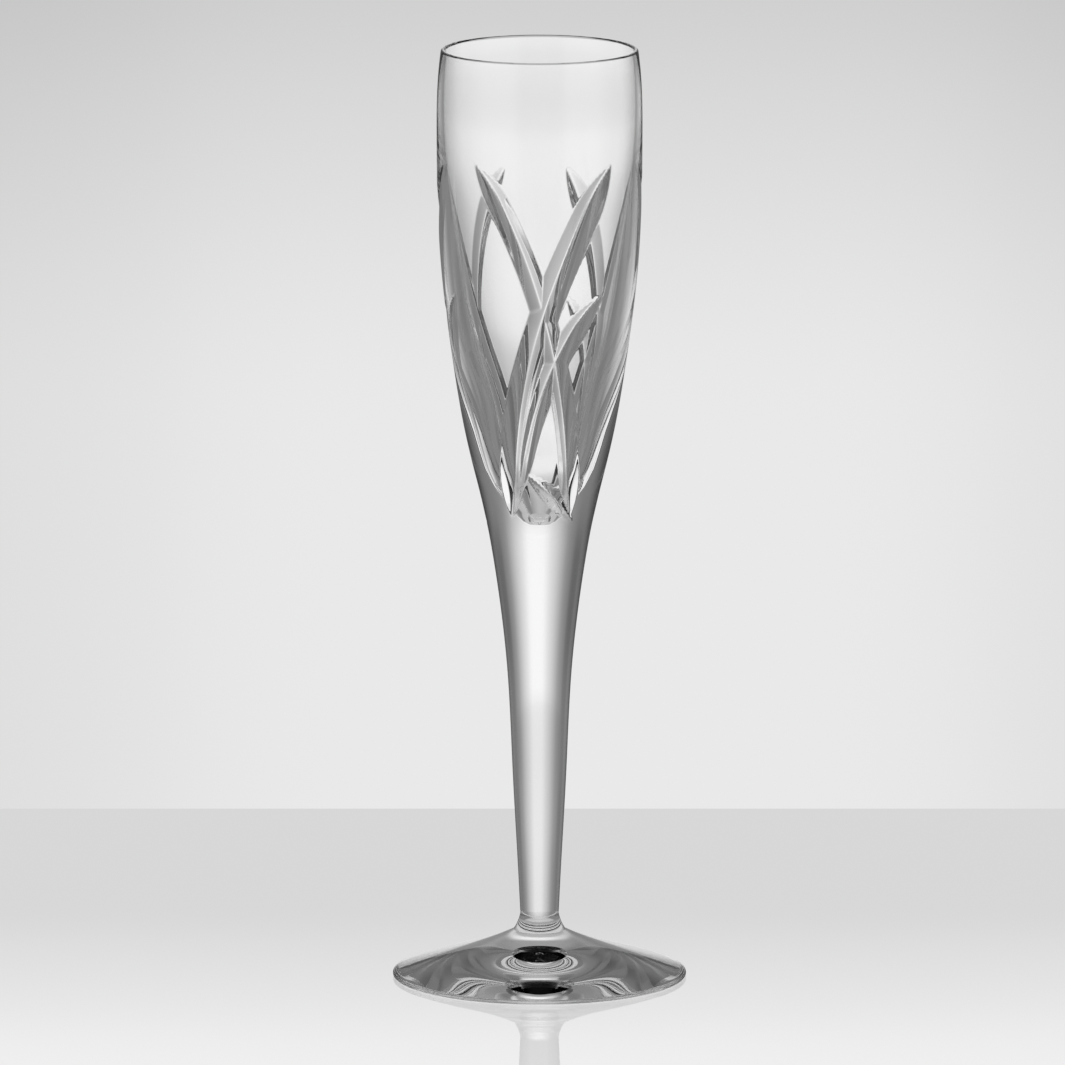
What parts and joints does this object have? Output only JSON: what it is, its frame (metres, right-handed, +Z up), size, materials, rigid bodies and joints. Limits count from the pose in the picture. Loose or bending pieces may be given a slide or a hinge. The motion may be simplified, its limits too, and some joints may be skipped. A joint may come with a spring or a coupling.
{
  "type": "champagne flute",
  "caption": "Tall stemmed drinking glass in clear cut crystal: slim tapering bowl with crossing mitre cuts, solid drawn stem and a wide conical foot.",
  "frame": {"origin": "middle of the flat ring that the foot stands on", "axes": "+Z up along the stem to the rim; -Y faces the viewer, with the front set of cuts on that side; +X to the right"},
  "size_m": [0.0734, 0.0734, 0.234],
  "materials": {
    "crystal": "clear colourless crystal, fire-polished all over, with polished mitre cuts"
  },
  "bodies": {
    "root": {"bowl": "crystal", "foot": "crystal", "stem": "crystal"}
  },
  "joints": []
}
